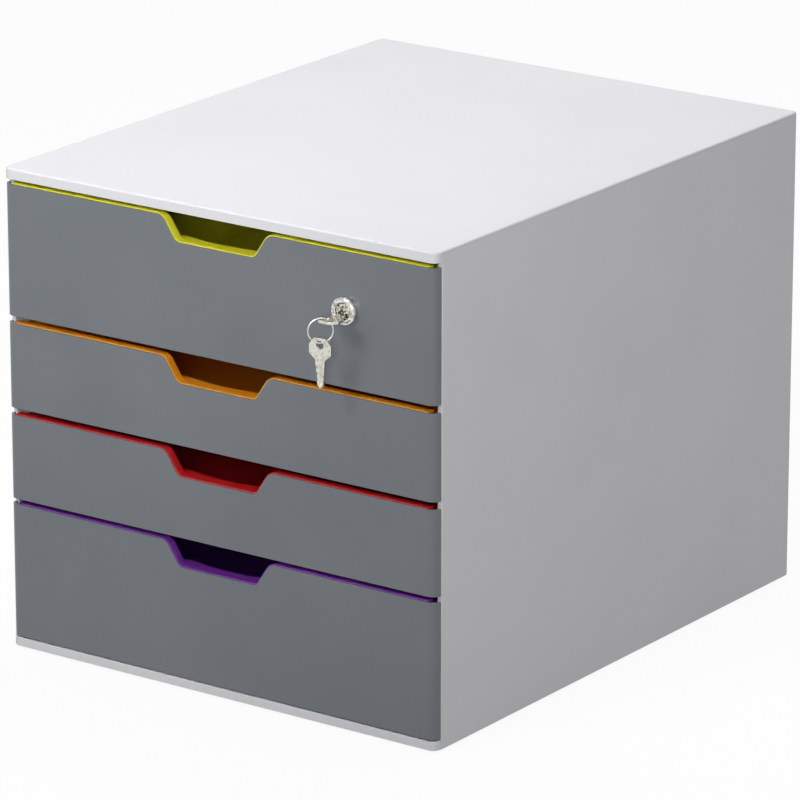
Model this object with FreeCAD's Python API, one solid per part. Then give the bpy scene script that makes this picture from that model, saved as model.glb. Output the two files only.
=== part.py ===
"""Four-drawer desk box: grey casing, coloured trays with clip-on fronts, cam lock with two keys.

Frame: X to the right, Y to the back, Z up; origin on the floor under the middle of the whole
object's box. All sizes in millimetres.
"""
import FreeCAD
import Part
import math
import os
from FreeCAD import Vector

# ---- driving dimensions ---------------------------------------------------------------
CASE_W, CASE_D, CASE_H = 292.0, 356.0, 280.0    # casing: width, nose to back, floor to top
FOOT_H = 1.6                                    # how far the feet lift the casing
WALL_T = 2.8                                    # side walls
SHELL_T = 2.4                                   # noses and skirts of the top and base panels
SKIN_T = 1.5                                    # top skin where it lies on the side walls
NOSE_SET = 5.5                                  # noses and fronts stand this far before the walls
NOSE_R = 5.0                                    # plan radius of noses and front covers
BACK_R = 3.0                                    # plan radius of the rear corners
RETURN_W = 12.0                                 # side walls' return across the back
TOP_NOSE_H, BASE_NOSE_H = 6.2, 5.2              # heights of the two noses

# drawers from the top down: name, lower edge of the front cover, height of the cover
DRAWERS = (("top", 195.6, 75.4), ("upper", 142.1, 49.1), ("lower", 88.9, 48.9), ("bottom", 7.6, 78.0))
COVER_W, COVER_T, COVER_WRAP = 291.2, 1.5, 5.2  # front covers: width, wall, depth of their returns
TOP_SOFT, COVER_SOFT = 0.8, 0.5                 # width of the softened edges, as narrow bevels
CUT_TOP, CUT_BOTTOM, CUT_DEPTH = 71.5, 53.0, 14.0   # finger cut-out
CUT_R_TOP, CUT_R_BOTTOM = 6.0, 5.0
TRAY_W, TRAY_BACK, TRAY_T = 270.0, 348.0, 2.0   # tray: outer width, rear face behind the front, walls
PLATE_W, PLATE_T = 280.6, 2.2                   # tray's front plate behind the cover
SIDE_DROP, FLOOR_LIFT = 2.0, 2.5                # tray's sides below its edge, floor above the cover's
RIM_SHOW, RIM_T, RIM_DEPTH = 0.8, 1.5, 4.3      # coloured rim round the front plate
RIM_SET, RIM_GAP = 0.5, 0.05                    # rim beside the cover's edge: behind its face, off it
LIP_HALF, LIP_MID, LIP_END = 34.0, 9.0, 12.0    # finger lip: half width, reach behind the fronts
FLANGE_OUT, FLANGE_T = 141.2, 2.0               # running flanges
EAR_OUT, EAR_SLOT = 142.8, 1.2                  # springy ear, and the slot that frees it
STOP_Y, STOP_L = 61.7, 8.0                      # block that the ear meets, behind the fronts
TRAVEL = 260.0                                  # drawer's way out to its stop
SLIDE_GAP = 0.3
CLIP_HALF, CLIP_T, CLIP_BARB = 4.0, 1.6, 0.8    # cover's clips and their barbs

LOCK_X, LOCK_Z = 87.4, 238.9                    # lock axis
BEZEL_R, BEZEL_H = 8.0, 4.0
BARREL_R, BARREL_FLAT, BARREL_L = 6.0, 5.2, 13.0
PLUG_R, PLUG_GAP, PLUG_SINK = 4.5, 0.05, 0.8
CAM_T, CAM_REACH = 1.6, 37.6
CATCH_Z = 274.2                                 # lower edge of the catch in the top panel

KEY_T, KEY_BLADE, KEY_BOW = 1.6, 14.0, 13.5     # key: plate, blade length, bow length
KEY_DROP, KEY_STAND = 2.0, 3.4                  # keyway below the plug axis; bow before the plug
KEY_HOLE_R, KEY_HOLE_IN = 2.3, 3.8              # hole in the bow, and its distance from the end
RING_R, RING_T = 6.8, 0.35                      # key ring: mean radius, half of its thickness
RING_TURN, SPARE_TURN = 45.0, 5.0               # planes of ring and spare key, from +X
RING_OUT, RING_DOWN = 3.9, 5.2                  # ring centre from the hole of the key in the lock
SPARE_SAG = 0.95                                # spare key's hole below the ring's wire

# ---- worked out from them -------------------------------------------------------------
RING_DIR = Vector(math.cos(math.radians(RING_TURN)), math.sin(math.radians(RING_TURN)), 0)
KEY_HOLE_OUT = BEZEL_H - PLUG_SINK + KEY_STAND + KEY_BOW - KEY_HOLE_IN
KEYS_OUT = KEY_HOLE_OUT + (RING_OUT + RING_R + RING_T) * RING_DIR.y + RING_T * RING_DIR.x
FRONT = (KEYS_OUT - CASE_D) / 2                 # Y of the plane of the noses and front covers
BACK = FRONT + CASE_D
HALF_W = CASE_W / 2
INNER_X = HALF_W - WALL_T
WALL_FRONT = FRONT + NOSE_SET
WALL_TOP = CASE_H - SKIN_T
KEY_Z = LOCK_Z - KEY_DROP
PLUG_FACE = FRONT - BEZEL_H + PLUG_SINK
KEY_SHOULDER = PLUG_FACE - KEY_STAND
KEY_HOLE = Vector(LOCK_X, FRONT - KEY_HOLE_OUT, KEY_Z)
RING_CENTRE = KEY_HOLE - RING_DIR * RING_OUT - Vector(0, 0, RING_DOWN)


# ---- shared helpers -------------------------------------------------------------------
def box(x0, x1, y0, y1, z0, z1):
    return Part.makeBox(x1 - x0, y1 - y0, z1 - z0, Vector(x0, y0, z0))


def cyl(radius, y0, y1, x=LOCK_X, z=LOCK_Z):
    """Cylinder along Y."""
    return Part.makeCylinder(radius, y1 - y0, Vector(x, y0, z), Vector(0, 1, 0))


def both_sides(shape):
    return [shape, shape.mirror(Vector(0, 0, 0), Vector(1, 0, 0))]


def fuse(shapes):
    return shapes[0].fuse(shapes[1:]).removeSplitter()


def rounded(points, radii, place):
    """Closed face from corner points (u, v), each corner an arc of its radius; place maps to 3-D."""
    edges = []
    count = len(points)
    ends = []
    for i in range(count):
        here = Vector(*points[i], 0)
        before = (Vector(*points[i - 1], 0) - here).normalize()
        after = (Vector(*points[(i + 1) % count], 0) - here).normalize()
        radius = radii[i]
        if radius <= 0:
            ends.append((here, None, here))
            continue
        half = before.getAngle(after) / 2
        reach = radius / math.tan(half)
        middle = here + (before + after).normalize() * (radius / math.sin(half) - radius)
        ends.append((here + before * reach, middle, here + after * reach))
    for i in range(count):
        start, middle, end = (place(p.x, p.y) if p is not None else None for p in ends[i])
        if middle is not None:
            edges.append(Part.Arc(start, middle, end).toShape())
        following = ends[(i + 1) % count][0]
        following = place(following.x, following.y)
        if end.distanceToPoint(following) > 1e-6:
            edges.append(Part.makeLine(end, following))
    return Part.Face(Part.Wire(edges))


def plan(points, radii, z0, z1):
    """Prism standing on a plan outline."""
    return rounded(points, radii, lambda u, v: Vector(u, v, z0)).extrude(Vector(0, 0, z1 - z0))


def front_view(points, radii, y0, y1):
    """Prism running back from an outline seen from the front."""
    return rounded(points, radii, lambda u, v: Vector(u, y0, v)).extrude(Vector(0, y1 - y0, 0))


def filleted(shape, radius, wanted):
    """Round the edges that wanted() picks."""
    return shape.makeFillet(radius, [e for e in shape.Edges if wanted(e.BoundBox)])


def bevelled(shape, width, wanted):
    """Bevel the edges that wanted() picks."""
    return shape.makeChamfer(width, [e for e in shape.Edges if wanted(e.BoundBox)])


# ---- casing ---------------------------------------------------------------------------
def side_wall():
    """Right side wall: plate with a return at the back, and a channel for each drawer's flange."""
    x_out, back_in = HALF_W, BACK - WALL_T
    points = [(INNER_X, WALL_FRONT), (x_out, WALL_FRONT), (x_out, BACK), (x_out - RETURN_W, BACK),
              (x_out - RETURN_W, back_in), (INNER_X, back_in)]
    parts = [plan(points, [0, 0.6, BACK_R, 0.6, 0, 0], FOOT_H, WALL_TOP)]
    for _, low, height in DRAWERS:
        parts += runner(low + height - SIDE_DROP)
    return fuse(parts)


def runner(flange_top):
    """Ledge with gussets, guide rib above it, and the block that stops the drawer."""
    ledge_top = flange_top - FLANGE_T - SLIDE_GAP
    rib_low = flange_top + SLIDE_GAP
    ledge_x, ledge_t, y0, y1 = 136.4, 2.0, FRONT + 14.0, FRONT + 345.0
    ledge = plan([(ledge_x, y0), (INNER_X + 0.2, y0 - 6), (INNER_X + 0.2, y1), (ledge_x, y1)],
                 [2.0, 0, 0, 0], ledge_top - ledge_t, ledge_top)
    rib = box(139.6, INNER_X + 0.2, FRONT + 24.0, y1, rib_low, rib_low + 1.5)
    stop = box(FLANGE_OUT + 0.5, INNER_X + 0.2, FRONT + STOP_Y, FRONT + STOP_Y + STOP_L,
               ledge_top - 0.2, rib_low + 0.2)
    gussets = []
    for i in range(3):
        y = y0 + 30.0 + 130.0 * i
        low = ledge_top - ledge_t
        corners = [Vector(138.2, y, low + 0.2), Vector(INNER_X + 0.2, y, low + 0.2),
                   Vector(INNER_X + 0.2, y, low - 8.0)]
        gussets.append(Part.Face(Part.makePolygon(corners + corners[:1])).extrude(Vector(0, 1.6, 0)))
    return [ledge, rib, stop] + gussets


def nose(z0, z1):
    """Lip of a panel's nose: a U in plan with rounded corners, hollow behind."""
    lip = plan([(-HALF_W, FRONT), (HALF_W, FRONT), (HALF_W, WALL_FRONT), (-HALF_W, WALL_FRONT)],
               [NOSE_R, NOSE_R, 0, 0], z0, z1)
    inside = HALF_W - SHELL_T
    hollow = plan([(-inside, FRONT + SHELL_T), (inside, FRONT + SHELL_T), (inside, WALL_FRONT + 1),
                   (-inside, WALL_FRONT + 1)], [NOSE_R - SHELL_T, NOSE_R - SHELL_T, 0, 0], z0, z1)
    return lip.cut(hollow)


def top_panel():
    """Top skin over the walls, thicker between them, with nose, stiffening ribs and lock catch."""
    skin = plan([(-HALF_W, FRONT), (HALF_W, FRONT), (HALF_W, BACK), (-HALF_W, BACK)],
                [NOSE_R, NOSE_R, BACK_R, BACK_R], WALL_TOP, CASE_H)
    skin = bevelled(skin, TOP_SOFT, lambda b: b.ZMin > CASE_H - 0.01)
    under = WALL_TOP - 1.0
    slab = box(-INNER_X, INNER_X, FRONT + 1.5, BACK - WALL_T, under, WALL_TOP)
    parts = [skin, slab, nose(CASE_H - TOP_NOSE_H, WALL_TOP)]
    for i in range(5):
        x = -110.0 + 55.0 * i
        parts.append(box(x - 0.8, x + 0.8, FRONT + 30.0, BACK - 14.0, under - 2.0, under))
    catch_y = FRONT + BARREL_L - 0.4
    parts.append(box(LOCK_X - 15, LOCK_X + 15, catch_y - 2.0, catch_y, CATCH_Z, under))
    for x in (LOCK_X - 15, LOCK_X + 13.4):
        parts.append(box(x, x + 1.6, catch_y - 4.5, catch_y, CATCH_Z + 0.6, under))
    return fuse(parts)


def base_panel():
    """Bottom panel between the walls, with nose, rear skirt and ribs below."""
    low, top = FOOT_H + 1.8, FOOT_H + 4.3
    slab = box(-INNER_X, INNER_X, FRONT + 1.5, BACK - WALL_T, low, top)
    parts = [slab, nose(FOOT_H, FOOT_H + BASE_NOSE_H)]
    skirt_x = HALF_W - RETURN_W
    parts.append(box(-skirt_x, skirt_x, BACK - WALL_T, BACK, FOOT_H, top))
    for i in range(3):
        y = FRONT + 92.0 + 86.0 * i
        parts.append(box(-INNER_X + 6, INNER_X - 6, y - 0.8, y + 0.8, FOOT_H + 0.2, low))
    return fuse(parts)


def foot_places():
    return [(sx * 122.0, y) for sx in (-1, 1) for y in (FRONT + 30.0, BACK - 30.0)]


def rubber_feet():
    """Round pads stuck under the base panel."""
    return Part.makeCompound([Part.makeCylinder(8.0, FOOT_H + 1.8, Vector(x, y, 0))
                              for x, y in foot_places()])


def back_panel():
    """Panel held in front of the walls' returns, with a raised field."""
    y1 = BACK - WALL_T
    low, top = FOOT_H + 4.3, WALL_TOP - 1.0
    plate = box(-INNER_X, INNER_X, y1 - 2.2, y1, low, top)
    field_x = HALF_W - RETURN_W - 10.0
    corners = [(-field_x, low + 14), (field_x, low + 14), (field_x, top - 14), (-field_x, top - 14)]
    return fuse([plate, front_view(corners, [6.0] * 4, y1 - 0.1, y1 + 1.0)])


# ---- drawers --------------------------------------------------------------------------
def front_outline(half_width, low, edge, grow, y0, y1):
    """Front outline with the finger cut-out; grow widens the solid round the cut-out."""
    lean = math.atan((CUT_TOP - CUT_BOTTOM) / 2 / CUT_DEPTH)
    shift = grow * math.tan(lean) - grow / math.cos(lean)
    top, bottom = edge + grow, edge - CUT_DEPTH + grow
    cut = [(CUT_TOP / 2 + shift, top), (CUT_BOTTOM / 2 + shift, bottom)]
    points = [(-half_width, low), (half_width, low), (half_width, top)] + cut
    points += [(-x, z) for x, z in reversed(cut)] + [(-half_width, top)]
    round_top, round_bottom = CUT_R_TOP + grow, CUT_R_BOTTOM - grow
    radii = [0, 0, 0, round_top, round_bottom, round_bottom, round_top, 0]
    return front_view(points, radii, y0, y1)


def front_cover(low, height):
    """Cover: a U in plan with rounded corners, a floor, the cut-out and clips behind."""
    half, top = COVER_W / 2, low + height
    outer = [(-half, FRONT), (half, FRONT), (half, FRONT + COVER_WRAP), (-half, FRONT + COVER_WRAP)]
    body = plan(outer, [NOSE_R, NOSE_R, 0, 0], low, top)
    body = body.common(front_outline(half + 1, low - 1, top, 0, FRONT - 1, FRONT + COVER_WRAP + 1))
    body = bevelled(body, COVER_SOFT, lambda b: b.YMin < FRONT + 0.01 or b.ZMin > top - 0.01
                    and b.YMax < FRONT + NOSE_R + 0.01 or b.ZMax < low + 0.01
                    and b.YMax < FRONT + NOSE_R + 0.01)
    inside, inner_r = half - COVER_T, NOSE_R - COVER_T
    hollow = plan([(-inside, FRONT + COVER_T), (inside, FRONT + COVER_T),
                   (inside, FRONT + COVER_WRAP + 1), (-inside, FRONT + COVER_WRAP + 1)],
                  [inner_r, inner_r, 0, 0], low + COVER_T, top + 1)
    return fuse([body.cut(hollow)] + [clip(x, z) for x, z in clip_places(low, height)])


def clip_places(low, height):
    places = [(x, low + 11.0) for x in (-118.0, -48.0, 48.0, 118.0)]
    if height > 60.0:
        places += [(x, low + height - 16.0) for x in (-118.0, 118.0)]
    return places


def clip(x, z):
    """Tongue with a barb, reaching through the tray's front plate."""
    left, root, barb = x - CLIP_HALF, FRONT + COVER_T - 0.2, FRONT + COVER_T + PLATE_T + 0.2
    low, high, tip = z - CLIP_T / 2, z + CLIP_T / 2, barb + 1.6
    side = [(root, low), (tip, low), (tip, high), (barb, high + CLIP_BARB), (barb, high), (root, high)]
    corners = [Vector(left, y, z) for y, z in side]
    return Part.Face(Part.makePolygon(corners + corners[:1])).extrude(Vector(2 * CLIP_HALF, 0, 0))


def tray(low, height):
    """Coloured tray: front plate with rim and finger lip, moulded bin, running flanges."""
    edge, floor = low + height, low + FLOOR_LIFT
    side_top = edge - SIDE_DROP
    half, rear, face = TRAY_W / 2, FRONT + TRAY_BACK, FRONT + COVER_T
    plate_low, plate_x = low + COVER_T + 0.1, PLATE_W / 2
    plate_back = face + PLATE_T
    plate = front_outline(plate_x, plate_low, edge, RIM_SHOW, face, face + RIM_DEPTH)
    plate = plate.cut(front_outline(plate_x - RIM_T, plate_low + RIM_T, edge, RIM_SHOW - RIM_T,
                                    plate_back, face + RIM_DEPTH + 1))
    rim_face = front_outline(plate_x, plate_low, edge, RIM_SHOW, FRONT + RIM_SET, face + 0.1)
    rim_face = rim_face.cut(front_outline(plate_x + 1, low - 1, edge, RIM_GAP, FRONT, face + 1))
    bin_outer = filleted(box(-half, half, plate_back, rear, floor, side_top), 4.0,
                         lambda b: b.YMin > rear - 0.01 and b.ZMax - b.ZMin > 1)
    bin_inner = box(-half + TRAY_T, half - TRAY_T, plate_back - 1, rear - TRAY_T, floor + TRAY_T, edge + 9)
    bin_inner = filleted(bin_inner, 3.0, lambda b: b.YMin > rear - TRAY_T - 0.01
                         and b.ZMax - b.ZMin > 1 or b.ZMax < floor + TRAY_T + 0.01
                         and b.YMax > plate_back + 1)
    bin_shell = bin_outer.cut(bin_inner)
    flange = running_flange(side_top, plate_back, rear)
    shape = fuse([plate, rim_face, bin_shell, finger_lip(edge, plate_back)] + both_sides(flange))
    play = 0.3
    for x, z in clip_places(low, height):
        slot = box(x - CLIP_HALF - play, x + CLIP_HALF + play, face - 1, plate_back + 1,
                   z - CLIP_T / 2 - play, z + CLIP_T / 2 + CLIP_BARB + play)
        shape = shape.cut(slot)
    return shape


def running_flange(side_top, y0, rear):
    """Right flange with the springy ear that meets the stop in the runner."""
    y_end = rear - 2.0
    points = [(TRAY_W / 2 - TRAY_T, y0), (FLANGE_OUT, y0 + 5), (FLANGE_OUT, y_end),
              (TRAY_W / 2 - TRAY_T, y_end)]
    flange = plan(points, [0, 0, 0, 0], side_top - FLANGE_T, side_top)
    ear_y = FRONT + STOP_Y + STOP_L + TRAVEL + SLIDE_GAP
    ear = plan([(FLANGE_OUT - 1, ear_y), (EAR_OUT, ear_y), (EAR_OUT, ear_y + 4),
                (FLANGE_OUT - 1, ear_y + 11)], [0, 0, 0, 0], side_top - FLANGE_T, side_top)
    slot_x = FLANGE_OUT - 2.6
    slot = box(slot_x - EAR_SLOT, slot_x, ear_y - 6, y_end + 1, side_top - FLANGE_T - 1, side_top + 1)
    return flange.fuse(ear).cut(slot)


def finger_lip(edge, plate_back):
    """Ledge under the fingers behind the foot of the cut-out, its rear edge scooped by an arc."""
    z = edge - CUT_DEPTH + RIM_SHOW - RIM_T
    y0, y1 = plate_back - 0.5, FRONT + LIP_END
    ledge = plan([(-LIP_HALF, y0), (LIP_HALF, y0), (LIP_HALF, y1), (-LIP_HALF, y1)], [0, 0, 3.0, 3.0],
                 z, z + RIM_T)
    half, deep = CUT_BOTTOM / 2, LIP_END - LIP_MID
    sweep = (half ** 2 + deep ** 2) / (2 * deep)
    return ledge.cut(Part.makeCylinder(sweep, RIM_T + 2, Vector(0, FRONT + LIP_MID + sweep, z - 1)))


# ---- lock -----------------------------------------------------------------------------
def barrel(radius, flat, y0, y1):
    """Round barrel with two flats."""
    square = box(LOCK_X - flat, LOCK_X + flat, y0, y1, LOCK_Z - radius, LOCK_Z + radius)
    return cyl(radius, y0, y1).common(square)


def lock_housing():
    """Domed bezel and flatted barrel round the plug's bore."""
    bore, f = PLUG_R + PLUG_GAP, FRONT
    dome = [(BEZEL_R, 0), (BEZEL_R, 1.9), (BEZEL_R - 2.4, BEZEL_H)]
    profile = [Vector(r, -out, 0) for r, out in dome + [(bore, BEZEL_H - 1.1), (bore, 0), (BEZEL_R, 0)]]
    bezel = Part.Face(Part.makePolygon(profile)).revolve(Vector(0, 0, 0), Vector(0, 1, 0), 360)
    bezel.translate(Vector(LOCK_X, f, LOCK_Z))
    tube = barrel(BARREL_R, BARREL_FLAT, f, f + BARREL_L).cut(cyl(bore, f - 1, f + BARREL_L + 1))
    return fuse([Part.Solid(bezel), tube])


def lock_nut():
    y0 = FRONT + COVER_T + PLATE_T
    corner = 8.5 / math.cos(math.pi / 6)
    points = [(LOCK_X + corner * math.cos(math.pi / 3 * i), LOCK_Z + corner * math.sin(math.pi / 3 * i))
              for i in range(6)]
    return front_view(points, [0] * 6, y0, y0 + 3.6).cut(cyl(BARREL_R, y0 - 1, y0 + 5))


def lock_plug():
    """Plug with the keyway below its axis and a square end for the cam."""
    rear = FRONT + BARREL_L + 0.2
    body = bevelled(cyl(PLUG_R, PLUG_FACE, rear), 0.3, lambda b: b.YMax < PLUG_FACE + 0.01)
    stub = box(LOCK_X - 3, LOCK_X + 3, rear, rear + CAM_T, LOCK_Z - 3, LOCK_Z + 3)
    keyway = box(LOCK_X - 3.05, LOCK_X + 3.05, PLUG_FACE - 1, PLUG_FACE + KEY_BLADE - KEY_STAND + 0.8,
                 KEY_Z - KEY_T / 2 - 0.2, KEY_Z + KEY_T / 2 + 0.2)
    return fuse([body, stub]).cut(keyway).cut(cyl(1.5, rear - 4.6, rear + CAM_T + 1))


def lock_cam():
    """Long flat cam; at rest it points left, a quarter turn brings it up behind the catch."""
    y0 = FRONT + BARREL_L + 0.2
    points = [(7.5, -7.0), (7.5, 7.0), (-8.0, 7.0), (-CAM_REACH, 4.5), (-CAM_REACH, -4.5), (-8.0, -7.0)]
    points = [(LOCK_X + x, LOCK_Z + z) for x, z in points]
    plate = front_view(points, [5.0, 5.0, 4.0, 1.5, 1.5, 4.0], y0, y0 + CAM_T)
    return plate.cut(box(LOCK_X - 3, LOCK_X + 3, y0 - 1, y0 + 3, LOCK_Z - 3, LOCK_Z + 3))


def cam_screw():
    y0 = FRONT + BARREL_L + 0.2 + CAM_T
    head = cyl(4.4, y0, y0 + 2.2)
    slot = box(LOCK_X - 5, LOCK_X + 5, y0 + 1.1, y0 + 3, LOCK_Z - 0.5, LOCK_Z + 0.5)
    return fuse([head, cyl(1.5, y0 - 5.6, y0)]).cut(slot)


# ---- keys -----------------------------------------------------------------------------
def key():
    """Flat key in the XY plane: shoulder at the origin, blade along +Y, bow along -Y."""
    half = 2.9
    bow = [(half, -1.2), (6.8, -4.6), (6.8, -9.6), (3.6, -KEY_BOW)]
    bow += [(-x, y) for x, y in reversed(bow)]
    cuts = [(-half, 1.6), (-2.1, 3.0), (-2.6, 4.6), (-1.7, 6.2), (-2.2, 7.8), (-1.4, 9.4), (-1.9, 11.2),
            (-1.6, 12.6)]
    straight = [(0.6, KEY_BLADE), (1.9, 12.6)]
    points = bow + cuts + [(-0.6, KEY_BLADE)] + straight
    radii = [1.0, 1.6, 1.6, 1.4, 1.4, 1.6, 1.6, 1.0] + [0] * len(cuts) + [0, 0, 0]
    plate = plan(points, radii, -KEY_T / 2, KEY_T / 2)
    hole = Part.makeCylinder(KEY_HOLE_R, KEY_T + 2, Vector(0, KEY_HOLE_IN - KEY_BOW, -KEY_T / 2 - 1))
    plate = plate.cut(hole)
    for z in (KEY_T / 2 - 0.4, -KEY_T / 2 - 1):
        plate = plate.cut(box(-0.1, 1.1, -0.6, 12.0, z, z + 1.4))
    return plate


def key_in_lock():
    shape = key()
    shape.translate(Vector(LOCK_X, KEY_SHOULDER, KEY_Z))
    return shape


def key_ring():
    """Split ring: two flat turns lying close, here one ring as thick as both."""
    shape = Part.makeCylinder(RING_R + RING_T, 2 * RING_T, Vector(0, 0, -RING_T))
    shape = shape.cut(Part.makeCylinder(RING_R - RING_T, 4 * RING_T, Vector(0, 0, -2 * RING_T)))
    shape.rotate(Vector(0, 0, 0), Vector(1, 0, 0), 90)
    shape.rotate(Vector(0, 0, 0), Vector(0, 0, 1), RING_TURN)
    shape.translate(RING_CENTRE)
    return shape


def spare_key():
    """Second key, hanging by its hole from the lowest point of the ring."""
    shape = key()
    shape.translate(Vector(0, KEY_BOW - KEY_HOLE_IN, 0))
    shape.rotate(Vector(0, 0, 0), Vector(1, 0, 0), -90)
    shape.rotate(Vector(0, 0, 0), Vector(0, 0, 1), SPARE_TURN)
    shape.translate(RING_CENTRE - Vector(0, 0, RING_R + SPARE_SAG))
    return shape


# ---- all nodes ------------------------------------------------------------------------
def lock_hole():
    return barrel(BARREL_R + 0.1, BARREL_FLAT + 0.1, FRONT - 1, FRONT + COVER_T + PLATE_T + 0.5)


def nodes():
    right, left = both_sides(side_wall())
    built = {"right_side_wall": right, "left_side_wall": left, "top_panel": top_panel(),
             "base_panel": base_panel(), "back_panel": back_panel(), "rubber_feet": rubber_feet()}
    for name, low, height in DRAWERS:
        built[name + "_tray"] = tray(low, height)
        built[name + "_front_cover"] = front_cover(low, height)
    for name in ("top_tray", "top_front_cover"):
        built[name] = built[name].cut(lock_hole())
    for make in (lock_housing, lock_nut, lock_plug, lock_cam, cam_screw, key_in_lock, key_ring, spare_key):
        built[make.__name__] = make()
    return built


os.makedirs("parts", exist_ok=True)
for node, shape in nodes().items():
    shape.exportStep("parts/" + node + ".step")
    print(node, len(shape.Solids), shape.isValid(), round(shape.Volume))
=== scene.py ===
"""Four-drawer desk box with clip-on fronts, coloured trays and a cam lock with two keys."""

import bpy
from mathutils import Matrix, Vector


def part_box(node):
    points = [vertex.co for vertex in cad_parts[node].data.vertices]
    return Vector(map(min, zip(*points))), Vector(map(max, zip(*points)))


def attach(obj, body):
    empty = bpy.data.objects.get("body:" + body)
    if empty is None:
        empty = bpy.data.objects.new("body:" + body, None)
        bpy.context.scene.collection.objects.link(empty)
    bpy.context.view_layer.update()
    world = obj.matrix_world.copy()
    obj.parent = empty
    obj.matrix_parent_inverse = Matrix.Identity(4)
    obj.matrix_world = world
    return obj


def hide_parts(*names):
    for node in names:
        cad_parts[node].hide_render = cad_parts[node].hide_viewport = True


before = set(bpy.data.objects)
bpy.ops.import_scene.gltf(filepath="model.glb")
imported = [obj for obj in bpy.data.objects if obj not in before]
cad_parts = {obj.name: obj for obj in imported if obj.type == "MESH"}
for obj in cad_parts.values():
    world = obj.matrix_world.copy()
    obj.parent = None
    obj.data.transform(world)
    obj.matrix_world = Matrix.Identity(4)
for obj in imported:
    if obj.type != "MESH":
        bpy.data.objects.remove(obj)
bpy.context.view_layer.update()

import math
from contextlib import contextmanager

import bmesh
import bpy
from mathutils import Vector

# ---- Table, light and camera ----------------------------------------------------------
# A plain white table in a white room. Two gridded softboxes stand in front, aimed high, so that
# their light fades down the fronts; a wide one hangs overhead, and the room fills in.
MM = 0.001
ROOM_FILL = 0.49            # the room's light on the object
TABLE_SIDE = 12             # metres
TABLE_SEEN = 0.80           # share of the table that shows plain white; the rest takes the shadow,
TABLE_WHITE = 1.15          # so that this white is a little over one


def linear(code):
    """An sRGB hex colour as linear red, green, blue and alpha."""
    parts = [int(code[i:i + 2], 16) / 255 for i in (1, 3, 5)]
    return [c / 12.92 if c <= 0.04045 else ((c + 0.055) / 1.055) ** 2.4 for c in parts] + [1.0]


def node(tree, kind, settings=None, links=()):
    """Adds a shader node; settings are fields or sockets, links are (socket, node, output)."""
    added = tree.nodes.new(kind)
    for name, value in (settings or {}).items():
        if isinstance(name, str) and hasattr(added, name):
            setattr(added, name, value)
        else:
            added.inputs[name].default_value = value
    for socket, source, output in links:
        tree.links.new(source.outputs[output], added.inputs[socket])
    return added


def new_surface(name):
    """A material without nodes, and its node tree."""
    surface = bpy.data.materials.new(name)
    surface.use_nodes = True
    surface.node_tree.nodes.clear()
    return surface, surface.node_tree


def coat(piece, surface):
    """Gives a piece one material all over."""
    piece.data.materials.clear()
    piece.data.materials.append(surface)


def seen_directly(tree, share):
    """Share of a shader for what the eye, a mirror or glass sees, and none for other light."""
    ray = node(tree, "ShaderNodeLightPath")
    mirrored = node(tree, "ShaderNodeMath", {"operation": "MAXIMUM"},
                    [(0, ray, "Is Camera Ray"), (1, ray, "Is Glossy Ray")])
    seen = node(tree, "ShaderNodeMath", {"operation": "MAXIMUM"},
                [(0, mirrored, 0), (1, ray, "Is Transmission Ray")])
    return node(tree, "ShaderNodeMath", {"operation": "MULTIPLY", 1: share}, [(0, seen, 0)])


room = bpy.data.worlds.new("White room")
bpy.context.scene.world = room
room.use_nodes = True
air = room.node_tree
air.nodes.clear()
fill = node(air, "ShaderNodeBackground", {"Color": linear("#F7F8FA"), "Strength": ROOM_FILL})
white = node(air, "ShaderNodeBackground", {"Color": linear("#FFFFFF"), "Strength": 1.0})
either = node(air, "ShaderNodeMixShader", {},
              [(0, seen_directly(air, 1.0), 0), (1, fill, 0), (2, white, 0)])
node(air, "ShaderNodeOutputWorld", {}, [("Surface", either, 0)])

bpy.ops.object.select_all(action="DESELECT")
bpy.ops.mesh.primitive_plane_add(size=TABLE_SIDE)
table = bpy.context.object
table.name = "table"
laminate, paint = new_surface("White laminate")
matt = node(paint, "ShaderNodeBsdfDiffuse", {"Color": linear("#A6A6A6")})
glow = node(paint, "ShaderNodeEmission", {"Color": linear("#FFFFFF"), "Strength": TABLE_WHITE})
both = node(paint, "ShaderNodeMixShader", {},
            [(0, seen_directly(paint, TABLE_SEEN), 0), (1, matt, 0), (2, glow, 0)])
node(paint, "ShaderNodeOutputMaterial", {}, [("Surface", both, 0)])
coat(table, laminate)

# name, place in metres, point it faces, side in metres, watts, angle of its beam
LAMPS = (("softbox", (0.84, -1.53, 0.78), (-0.16, -0.17, 0.36), 0.40, 0.88, 42),
         ("high lamp", (-0.22, -1.16, 1.18), (-0.10, -0.17, 0.39), 0.40, 0.70, 50),
         ("overhead lamp", (0.08, 0.42, 1.90), (0.05, 0.08, 0.2), 1.60, 13.2, 180))
for name, place, aim, side, watts, beam in LAMPS:
    turn = (Vector(aim) - Vector(place)).to_track_quat("-Z", "Y").to_euler()
    bpy.ops.object.light_add(type="AREA", location=place, rotation=turn)
    lamp = bpy.context.object
    lamp.name = name
    lamp.data.shape, lamp.data.size, lamp.data.energy = "SQUARE", side, watts
    lamp.data.spread = math.radians(beam)

CAMERA_PLACE = (1.8539, -2.5842, 1.1418)
CAMERA_DOWN, CAMERA_TURN = 17.65, 35.6      # degrees below level, and to the left of straight on
LENS, SIGHT = 266.0, 50.0                   # lens in millimetres, furthest sight in metres
bpy.ops.object.camera_add(location=CAMERA_PLACE,
                          rotation=(math.radians(90 - CAMERA_DOWN), 0, math.radians(CAMERA_TURN)))
camera = bpy.context.object
camera.data.lens, camera.data.clip_end = LENS, SIGHT
bpy.context.scene.camera = camera
bpy.context.scene.view_settings.view_transform = "Standard"

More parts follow.
